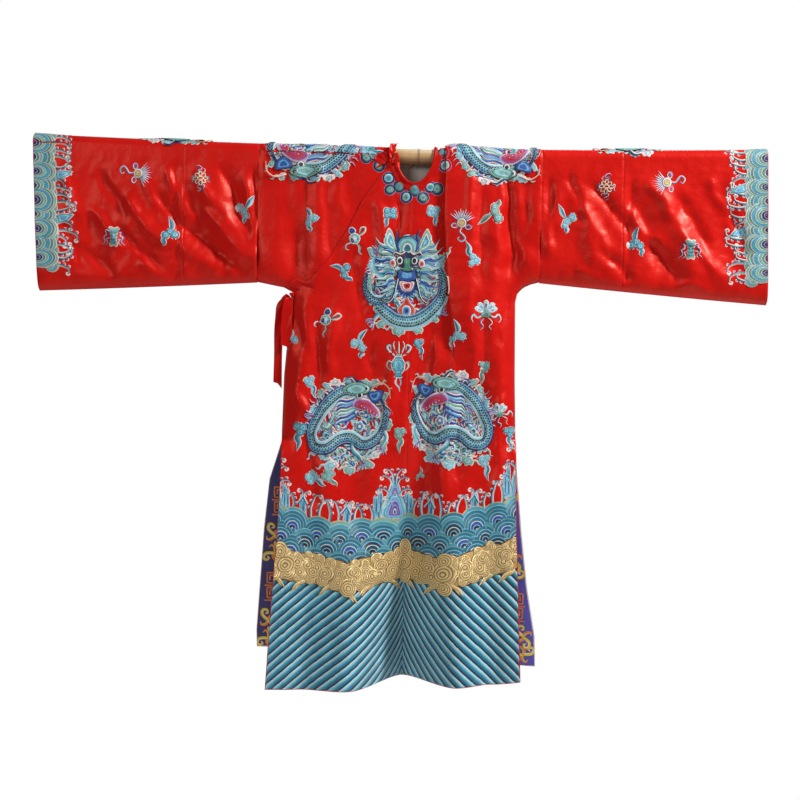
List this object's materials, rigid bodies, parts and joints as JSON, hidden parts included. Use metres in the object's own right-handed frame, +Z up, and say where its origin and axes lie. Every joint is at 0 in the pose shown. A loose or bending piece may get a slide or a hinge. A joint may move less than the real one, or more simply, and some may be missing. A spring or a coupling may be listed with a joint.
{
  "type": "silk dragon robe on a bamboo pole",
  "caption": "Side-fastening Chinese silk robe with long straight sleeves, side slits, a tied flap and a wave and stripe border, hung on a bamboo pole that runs through its sleeves.",
  "frame": {"origin": "on the bamboo pole's axis at the robe's centre line, where the pole is held up", "axes": "+Z up, +X along the pole to the wearer's left, -Y out of the robe's front"},
  "size_m": [1.908, 0.2873, 1.4112],
  "materials": {
    "red_satin": "plain red silk satin with a soft sheen",
    "embroidered_satin": "red silk satin embroidered in floss silk and couched gold thread",
    "slit_brocade": "purple-blue brocade with orange frets and yellow scrolls",
    "pale_lining": "pale grey plain silk",
    "bamboo": "dry bamboo with a waxy skin"
  },
  "bodies": {
    "root": {"front_overlap": "embroidered_satin", "front_left": "embroidered_satin", "front_under": "red_satin", "back_right": "embroidered_satin", "back_left": "embroidered_satin", "sleeve_right_upper": "embroidered_satin", "sleeve_right_lower": "embroidered_satin", "sleeve_left_upper": "embroidered_satin", "sleeve_left_lower": "embroidered_satin", "neck_binding": "red_satin", "neck_lining": "pale_lining", "slit_facing_right": "slit_brocade", "slit_facing_left": "slit_brocade", "neck_tie_knot": "red_satin", "neck_tie_tab": "red_satin", "neck_tie_loop": "red_satin", "neck_tie_end": "red_satin", "side_tie_knot": "red_satin", "side_tie_front": "red_satin", "side_tie_back": "red_satin", "bamboo_pole": "bamboo"}
  },
  "joints": []
}
